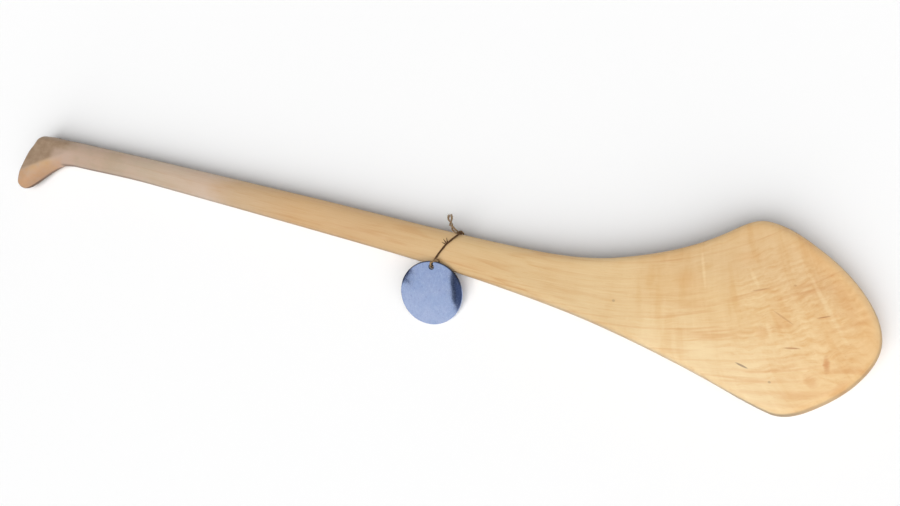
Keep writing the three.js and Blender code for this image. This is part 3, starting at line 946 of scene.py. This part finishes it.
# Noises in the wood: cells to a millimetre along, across and through it, detail, roughness
CLOUD = ((0.011, 0.03, 0.03), 3, 0.55)
SLOW = ((0.0035, 0.06, 0.04), 2, 0.5)
BREAKS = ((0.013, 0.11, 0.05), 3, 0.6)
WAVER = ((0.05, 0.08, 0.1), 2, 0.5)
FIBRE = ((0.028, 1.15, 1.25), 3, 0.6)
FINE_FIBRE = ((0.1, 2.6, 3.0), 2, 0.6)
PORES = ((0.16, 2.1, 2.1), 2, 0.7)
CURL = ((0.06, 0.56, 0.3), 2, 0.6)
RIPPLE = ((0.075, 0.022, 0.03), 3, 0.55)
NARROW = ((0.24, 0.05, 0.05), 2, 0.55)
WANDER = ((0.035, 0.03, 0.05), 2, 0.5)
MOTTLE = ((0.11, 0.17, 0.2), 4, 0.6)
KNOB_PATCH = ((0.07, 0.09, 0.09), 3, 0.6)
PINKISH = ((0.036, 0.08, 0.08), 3, 0.6)
SIDE_SHADE_BREAKUP = ((0.03, 0.03, 0.2), 3, 0.6)

# Where some layers lie, in millimetres: from, to, and the fade outside them
PALE_LOW_X = (772, 848, 55)
FIGURED_X, FIGURED_Y = (838, 888, 30), (-24, 26, 14)
CRIMPED_X, CRIMPED_Y = (826, 890, 26), (-40, 30, 16)
RIDGE_X = (34, 56, 14)
INNER_X, INNER_Y = (62, 84, 12), (-30, -17, 6)
LIP_X = (22, 64, 8)
HEEL_X = (838, 862, 24)
LINE_FADE = 9


class Wood:
    """What the layers of the ash's paint share: where a point lies, and noises of the grain."""

    def __init__(self, paint):
        self.grain = paint.attribute("grain")
        self.across = self.grain.parts()[1]
        self.drawn = paint.attribute("drawn")
        self.x, self.y, self.z = self.drawn.parts()
        self.side, self.lean, self.depth = paint.attribute("facet").parts()
        self.bas = self.x.ramp(640, 770)
        self.warm = self.x.ramp(130, 340, 0.3, 1.0)
        self.lip = self.x.window(*LIP_X) * self.side.ramp(1.5, 6)
        waver = (paint.drawn_out(self.grain, *WAVER) - 0.5) * self.bas * 5
        self.wavering = self.across + waver
        self.curly = self.grain.moved(paint.node("ShaderNodeCombineXYZ", {}, {1: waver}))
        self.fibre = paint.drawn_out(self.curly, *FIBRE)
        self.fine = paint.drawn_out(self.curly, *FINE_FIBRE)
        self.pores = paint.drawn_out(self.curly, *PORES).ramp(0.62, 0.74)
        self.curl = paint.drawn_out(self.curly, *CURL)
        self.ripple = paint.drawn_out(self.curly, *RIPPLE)
        self.narrow = paint.drawn_out(self.curly, *NARROW)


def ground_tone(paint, wood):
    """The tone along the stick, from the knob's end to the toe."""
    first, last = TONES[0][0], TONES[-1][0]
    stops = [((at - first) / (last - first), colour) for at, colour in TONES]
    along = wood.x.ramp(first, last, smooth=False)
    return paint.node("ShaderNodeValToRGB", {"stops": stops}, {0: along})


def streaked(paint, colour, field, warm_end, warm, pale_end, pale):
    """Warmer streaks to one side of a noise's middle value and paler ones to the other."""
    colour = paint.shade(colour, field.ramp(0.5, warm_end) * warm, WARM_SHADE)
    return paint.shade(colour, field.ramp(0.5, pale_end) * pale, PALE_LIFT)


def clouds(paint, wood, colour):
    """Broad clouds, the paler lower part of the bas and its orange end."""
    x, y = wood.x, wood.y
    cloud = paint.drawn_out(wood.grain, *CLOUD)
    colour = streaked(paint, colour, cloud, 0.72, 0.45, 0.3, 0.45)
    colour = paint.mix(y.ramp(0, -58) * x.window(*PALE_LOW_X) * 0.6, colour, PALE_LOW)
    # Painted shade: the upper part of the throat and bas, away from the light, a little darker
    colour = paint.shade(colour, x.ramp(655, 705) * y.ramp(-8, 24), TOP_PAINTED_SHADE)
    colour = paint.mix(y.ramp(0, -60) * x.ramp(850, 885) * 0.35, colour, LOW_END)
    end_band = x.ramp(828, 868) * y.ramp(-36, 4) * wood.depth.ramp(17, 4)
    return paint.mix(end_band * 0.45, colour, END_BAND)


def growth_lines(paint, wood, colour):
    """Contours of a slow noise, broken along the grain, and the lines that stand out."""
    slow = paint.drawn_out(wood.grain, *SLOW)
    ring = (slow * 7 + wood.across * 0.09).math("FRACT")
    line = ring.ramp(0.0, 0.1) * ring.ramp(0.62, 0.14)
    broken = paint.drawn_out(wood.grain, *BREAKS).ramp(0.46, 0.66)
    lower_zone = 1 - wood.bas * wood.across.ramp(-36, -18) * 0.75
    colour = paint.shade(colour, line * broken * lower_zone * wood.warm * 0.4, DEEP_SHADE)
    wave = wood.across + (slow - 0.5) * 6
    uneven = broken * 0.6 + 0.4
    for at, start, end, width, strength in GROWTH_LINES:
        trace = wave.bell(at, width) * wood.x.window(start, end, LINE_FADE) * uneven
        colour = paint.shade(colour, trace * strength, DEEP_SHADE)
    return colour


def fibres(paint, wood, colour):
    """Streaks, fine lines and pores along the grain, calmer in the bas."""
    calm = 1 - wood.bas * 0.4
    warm = calm * wood.warm
    colour = streaked(paint, colour, wood.fibre, 0.78, warm * 0.6, 0.24, calm * 0.5)
    fine_lines = wood.fine.ramp(0.52, 0.8) * warm * 0.35
    colour = paint.shade(colour, fine_lines, WARM_SHADE)
    return paint.shade(colour, wood.pores * wood.warm * 0.25, DEEP_SHADE)


def figure(paint, wood, colour):
    """Curl and ripple in the bas, where the fibres rise and dip."""
    bas = wood.bas
    figured = wood.x.window(*FIGURED_X) * wood.y.window(*FIGURED_Y) * 0.4
    curled_warm, curled_pale = bas * (figured + 0.25), bas * (figured + 0.3)
    colour = streaked(paint, colour, wood.curl, 0.7, curled_warm, 0.32, curled_pale)
    rippled = bas * wood.x.ramp(680, 790, 0.5, 1.0) * 0.5
    colour = streaked(paint, colour, wood.ripple, 0.3, rippled, 0.72, rippled)
    hatch = wood.narrow.ramp(0.55, 0.74) * wood.curl.ramp(0.4, 0.58)
    return paint.shade(colour, bas * hatch * 0.35, PALE_LIFT)


def crimped_fibres(paint, wood, colour):
    """Close, wavy lines that come and go in the middle of the bas's end."""
    wander = paint.drawn_out(wood.curly, *WANDER) * 14
    crimp = (wood.wavering * 1.75 + wander).math("SINE")
    crimped = wood.x.window(*CRIMPED_X) * wood.y.window(*CRIMPED_Y) * wood.narrow.ramp(0.36, 0.6)
    colour = paint.shade(colour, crimped * crimp.ramp(0.1, 1.0) * 0.42, PALE_LIFT)
    return paint.shade(colour, crimped * crimp.ramp(-0.1, -1.0) * 0.34, WARM_SHADE)


def marks_and_patches(paint, wood, colour):
    """Marks and soft patches on the upper face: ovals, ragged at their edges."""
    x, y = wood.x, wood.y
    upper_face = wood.z.ramp(MID_HEIGHT, MID_HEIGHT + 3)
    uneven = wood.curl + wood.fine - 1
    for marks, ragged, inner in ((PATCHES, 1.6, -0.4), (MARKS, 0.5, 0.3)):
        for at_x, at_y, length, width, turn, strength, tone in marks:
            cosine, sine = np.cos(np.radians(turn)), np.sin(np.radians(turn))
            ahead = ((x - at_x) * cosine + (y - at_y) * sine) * (2 / length)
            aside = ((y - at_y) * cosine - (x - at_x) * sine) * (2 / width)
            spot = (ahead ** 2 + aside ** 2 + uneven * ragged).ramp(1.5, inner)
            colour = paint.mix(spot * upper_face * strength, colour, tone)
    return colour


def knob_colours(paint, wood, colour):
    """Brown on the knob's upper facet, orange and a painted highlight along its ridge, and orange on
    the lower one with painted light at its edge.
    """
    x, y, side = wood.x, wood.y, wood.side
    patch = paint.drawn_out(wood.drawn, *KNOB_PATCH)
    pinkish = paint.drawn_out(wood.drawn, *PINKISH).ramp(0.36, 0.58)
    # Pinkish grey on the handle towards the knob
    colour = paint.mix(x.ramp(300, 120) * 0.45, colour, paint.mix(pinkish, *GRIP_PINK_GREYS))
    tan = paint.mix(patch.ramp(0.35, 0.65), *LOWER_FACET)
    colour = paint.mix(x.ramp(100, 58) * side.ramp(-1.5, 3.5) * 0.9, colour, tan)
    # Brown on the knob's upper facet, darker than the lower one
    brown = paint.mix(paint.drawn_out(wood.drawn, *MOTTLE).ramp(0.3, 0.72), *UPPER_FACET_BROWNS)
    upper = (x.ramp(84, 58) + x.ramp(108, 66) * y.ramp(-16, -7) * 0.35).math("MINIMUM", 1.0)
    colour = paint.mix(upper * side.ramp(1.4, -2.2) * 0.9, colour, brown)
    # Orange wood and a painted highlight, in broken patches just below the ridge
    ridge_orange_and_highlight = side.bell(4.0, 8.0) * x.window(*RIDGE_X) * patch.ramp(0.15, 0.5)
    colour = paint.mix(ridge_orange_and_highlight * 0.5, colour, RIDGE_ORANGE_AND_HIGHLIGHT)
    colour = paint.mix(x.window(*INNER_X) * y.window(*INNER_Y) * 0.5, colour, INNER_CURVE)
    # Painted light: the roll along the knob's lower edge made paler and more orange
    return paint.mix(wood.lip * wood.depth.ramp(10, 3) * 0.5, colour, LIP_PAINTED_LIGHT)


def edges_painted_light_and_shade(paint, wood, colour):
    """Painted light on the toe's edge; painted shade on the lower sides, at the outline and under
    the lip.
    """
    x, y, z, depth, lip = wood.x, wood.y, wood.z, wood.depth, wood.lip
    side_shade_breakup = paint.drawn_out(wood.drawn, *SIDE_SHADE_BREAKUP)
    toe = x.ramp(840, 880)
    # Painted light: the rolled edge at the toe made paler where it turns away from the light
    toe_edge_light = toe * depth.ramp(9, 1) * y.ramp(-30, 8) * z.ramp(MID_HEIGHT - 2, MID_HEIGHT + 2)
    colour = paint.mix(toe_edge_light * 0.5, colour, TOE_EDGE_PAINTED_LIGHT)
    # Painted shade: the sides below the middle made greyer and darker, unevenly
    sides = z.ramp(MID_HEIGHT + 2, MID_HEIGHT - 4) * (side_shade_breakup * 0.3 + 0.4) * (1 - lip * 0.9)
    colour = paint.mix(sides * (1 - toe * 0.45), colour, SIDES_PAINTED_SHADE)
    # Painted shade: a dark line where the face rolls over at the outline, strongest near the knob
    # and at the heel
    heel = x.window(*HEEL_X) * y.ramp(-46, -62) * 0.35
    outline = depth.ramp(1.5, 0.1) * (x.ramp(70, 330, 0.75, 0.3) + heel) * (1 - lip)
    colour = paint.mix(outline, colour, OUTLINE_PAINTED_SHADE)
    # Painted shade: dark where the knob's lower edge faces down
    facing_down = (wood.lean + x.ramp(26, 42) * 0.24).ramp(0.14, -0.12)
    return paint.mix(lip * facing_down * 0.85, colour, UNDER_LIP_PAINTED_SHADE)


def ash_paint():
    """Sanded ash: layer on layer of colour, some of it painted light and shade, and a surface that
    follows the fibres.
    """
    paint = Paint("sanded_ash")
    wood = Wood(paint)
    colour = ground_tone(paint, wood)
    for layer in (clouds, growth_lines, fibres, figure, crimped_fibres, marks_and_patches,
                  knob_colours, edges_painted_light_and_shade):
        colour = layer(paint, wood, colour)
    rough = wood.fibre * 0.14 + wood.ripple * 0.06 + 0.38
    height = wood.fibre * 0.5 - wood.pores * 0.8 + wood.fine * 0.3
    paint.set(Base_Color=colour, Roughness=rough, Normal=paint.bump(height, 0.00012, 0.6))
    paint.set(Specular_IOR_Level=0.3)
    return paint.material


# The tag

TAG_ROUND = 0.25
TAG_ROUND_STEPS = 5
TAG_AROUND = 288
RIM_SHORT = 0.01
FACE_SHARES = np.array([0, 0.01, *np.linspace(0.07, 0.93, 12), 0.99, 1])

# Noises on the tag, as in the wood
TAG_CLOUD = ((0.07, 0.07, 0.07), 3, 0.6)
TAG_MOTTLE = ((0.6, 0.45, 0.7), 3, 0.65)
TAG_SCUFF = ((1.8, 0.12, 1), 3, 0.7)
TAG_WAVE = ((0.05, 0.05, 0.05), 1, 0.4)

TAG_COAT_AND_REFLECTION_BLUES = (rgb(166, 184, 226), rgb(190, 206, 244))
CLOUD_BLUE = rgb(158, 184, 230)
PALE_BLUE = rgb(206, 222, 250)
DEEP_BLUE = rgb(136, 152, 204)
RIM_AND_HOLE_SHADE = rgb(30, 36, 60)


def make_tag():
    """A thin disc with a punched hole.

    Lines run from the hole to the rim on the front, over the rim, back to the hole on the back
    and through the hole. A point's place in the plane is a share of the way from the hole's
    circle to the rim's.
    """
    x, y, z = tag_axes()
    half = TAG_THICKNESS / 2
    turn = np.linspace(0, np.pi / 2, TAG_ROUND_STEPS)[1:]
    rounded = list(zip(TAG_ROUND * np.sin(turn), half - TAG_ROUND * (1 - np.cos(turn))))
    hole_in = HOLE_RADIUS + TAG_ROUND
    rim_in = TAG_RADIUS - RIM_SHORT - TAG_ROUND
    flat = [(hole_in, rim_in, share, half) for share in FACE_SHARES]
    rim = [(hole_in, rim_in + out, 1.0, level) for out, level in rounded]
    hole = [(hole_in - out, rim_in, 0.0, level) for out, level in rounded]
    front = hole[::-1] + flat + rim
    back = [(h, r, s, -level) for h, r, s, level in front[::-1]]
    section = np.array(front + back)
    hole_r, rim_r, share, level = section.T[..., None]
    angle = np.linspace(0, 2 * np.pi, TAG_AROUND, endpoint=False)
    in_x = (1 - share) * hole_r * np.cos(angle) + share * rim_r * np.cos(angle)
    in_y = (1 - share) * (HOLE_Y + hole_r * np.sin(angle)) + share * rim_r * np.sin(angle)
    place_in = np.stack([in_x, in_y, np.broadcast_to(level, in_x.shape)], -1)
    vertices = TAG_CENTRE + place_in @ np.stack([x, y, z])
    quads = grid_faces(len(section), TAG_AROUND, wrap_rows=True)
    tag = make_mesh("mirror_tag", place(vertices.reshape(-1, 3)), quads, (), "tag", tag_paint())
    add_vector(tag, "disc", place_in.reshape(-1, 3))
    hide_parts("swing_tag")
    return tag


def tag_paint():
    """Blue mirror coat, faintly uneven, with fine scuffs; painted reflection makes it lighter lower
    down, and painted shade darkens its upper rim and the hole's edge.
    """
    paint = Paint("blue_mirror_coat")
    disc = paint.attribute("disc")
    x, y, _ = disc.parts()
    cloud = paint.drawn_out(disc, *TAG_CLOUD)
    mottle = paint.drawn_out(disc, *TAG_MOTTLE)
    scuff = paint.drawn_out(disc, *TAG_SCUFF)
    radius = (x ** 2 + y ** 2) ** 0.5
    hole = (x ** 2 + (y - HOLE_Y) ** 2) ** 0.5
    # Painted reflection: the blue grows lighter towards the bottom, like the bright studio it
    # mirrors
    blue = paint.mix(y.ramp(24, -24), *TAG_COAT_AND_REFLECTION_BLUES)
    blue = paint.mix(cloud.ramp(0.35, 0.7) * 0.45, blue, CLOUD_BLUE)
    blue = paint.mix(mottle.ramp(0.45, 0.75) * 0.4, blue, PALE_BLUE)
    blue = paint.mix(mottle.ramp(0.45, 0.25) * 0.4, blue, DEEP_BLUE)
    # Painted shade: a dark line over the upper rim and a dark ring round the hole
    rim = radius.ramp(26.2, 27.1) * y.ramp(2, 12)
    rim_and_hole_shade = rim + hole.ramp(HOLE_RADIUS + 0.8, HOLE_RADIUS + 0.2)
    colour = paint.mix(rim_and_hole_shade.math("MINIMUM", 1.0) * 0.85, blue, RIM_AND_HOLE_SHADE)
    rough = scuff.ramp(0.5, 0.8) * 0.03 + mottle.ramp(0.5, 0.8) * 0.02 + 0.045
    wave = paint.drawn_out(disc, *TAG_WAVE)
    paint.set(Base_Color=colour, Roughness=rough, Normal=paint.bump(wave, 0.0004, 0.2))
    paint.set(Metallic=0.95)
    return paint.material


# Floor and light

# Cards as corners on the tag, distance from it and brightness
PALE_CARD = [(-250, -250), (250, -250), (250, 250), (-250, 250)]
DARK_CARD = [
    (16.7, 19.4), (18, 16.8), (18, -3), (20.2, -7.1), (24, -12.5), (36, -26), (60, -10), (60, 30),
    (18.6, 24),
]
DEEP_CARD = [(16.9, 19.0), (18.2, 16.6), (18.2, -3), (20.4, -7), (23, -10.5), (22.4, 18), (20, 23)]
STREAK_CARD = [(-28, 7.5), (-19.5, 19.5), (-16.8, 16.6), (-22.2, 9.0), (-24.5, 6.5)]
SPOT_CARD = [(-21.3, 10.2), (-18.6, 10.4), (-18.4, 7.4), (-21.3, 7.0)]
CARDS = [
    ("pale_card", PALE_CARD, 900, (0.8, 0.8, 0.8, 1)),
    ("dark_card", DARK_CARD, 610, (0.1, 0.12, 0.18, 1)),
    ("deep_card", DEEP_CARD, 600, (0.035, 0.04, 0.06, 1)),
    ("streak_card", STREAK_CARD, 600, (0.035, 0.04, 0.08, 1)),
    ("spot_card", SPOT_CARD, 600, (0.035, 0.04, 0.08, 1)),
]

# Lights: the way to each from the +X axis and above the floor, its spread and its power
FLOOR_LIGHTS = [("floor_light", 297, 38, 96, 4.85)]
STICK_LIGHTS = [("stick_front", 288, 70, 64, 2.05), ("stick_fill", 288, 89, 140, 0.72)]
ROOM_LIGHT = 0.13

FLOOR_HALF = 40.0
FLOOR_BELOW = 0.0004
FLOOR_TONES = ((0.9, 0.9, 0.9, 1), (0.92, 0.92, 0.92, 1))
BLACK = (0, 0, 0, 1)
WHITE = (1, 1, 1, 1)


def make_floor():
    """A plain pale floor, a little under the stick."""
    corners = [(-1, -1), (1, -1), (1, 1), (-1, 1)]
    vertices = [(x * FLOOR_HALF, y * FLOOR_HALF, -FLOOR_BELOW) for x, y in corners]
    paint = Paint("pale_floor")
    spot = paint.node("ShaderNodeTexCoord", {}, {}, "Object")
    tone = paint.noise(spot, 2, 0.5, 1.5)
    paint.set(Base_Color=paint.mix(tone, *FLOOR_TONES), Roughness=0.9, Specular_IOR_Level=0.1)
    floor = make_mesh("floor", vertices, [[0, 1, 2, 3]], (), None, paint.material)
    return floor


def make_light(name, heading, height, spread, power, reach):
    """A broad, even light from one side of the room that reaches only the given pieces."""
    data = bpy.data.lights.new(name, "SUN")
    data.energy = power
    data.angle = np.radians(spread)
    light = bpy.data.objects.new(name, data)
    z = direction(heading, height)
    x = unit(np.cross([0, 0, 1], z))
    light.matrix_world = Matrix(np.stack([x, np.cross(z, x), z]).T.tolist()).to_4x4()
    bpy.context.scene.collection.objects.link(light)
    group = bpy.data.collections.new(name + "_reach")
    for piece in reach:
        group.objects.link(piece)
    light.light_linking.receiver_collection = group


def make_card(name, corners, distance, brightness):
    """A flat card that the tag mirrors to the camera.

    Its corners are given on the tag, in the tag's own axes. From the camera to each of them a ray
    is turned back by the tag's face, and the card's corner lies that far along it.
    """
    x, y, z = tag_axes()
    face = TAG_CENTRE + TAG_THICKNESS / 2 * z
    on_tag = face + np.array(corners, float) @ np.stack([x, y])
    ray = unit(on_tag - CAMERA_AT)
    back = ray - 2 * (ray @ z)[:, None] * z
    paint = Paint(name)
    paint.set(Base_Color=BLACK, Roughness=1.0, Specular_IOR_Level=0.0)
    paint.set(Emission_Color=brightness, Emission_Strength=1.0)
    vertices = place(on_tag + distance * back)
    card = make_mesh(name, vertices, [list(range(len(corners)))], (), None, paint.material)
    card.visible_camera = False
    card.visible_diffuse = False
    card.visible_shadow = False


def make_studio(floor, pieces):
    """Faint white light all round, lights for the floor and lights for the stick and twine."""
    world = bpy.data.worlds.new("studio")
    world.use_nodes = True
    background = world.node_tree.nodes["Background"]
    background.inputs["Color"].default_value = WHITE
    background.inputs["Strength"].default_value = ROOM_LIGHT
    bpy.context.scene.world = world
    for light in FLOOR_LIGHTS:
        make_light(*light, [floor])
    for light in STICK_LIGHTS:
        make_light(*light, pieces)
    for card in CARDS:
        make_card(*card)
    bpy.context.scene.view_settings.view_transform = "Standard"


make_camera()
twine_pieces = make_twine()
stick = make_stick()
make_tag()
make_studio(make_floor(), [stick, *twine_pieces])
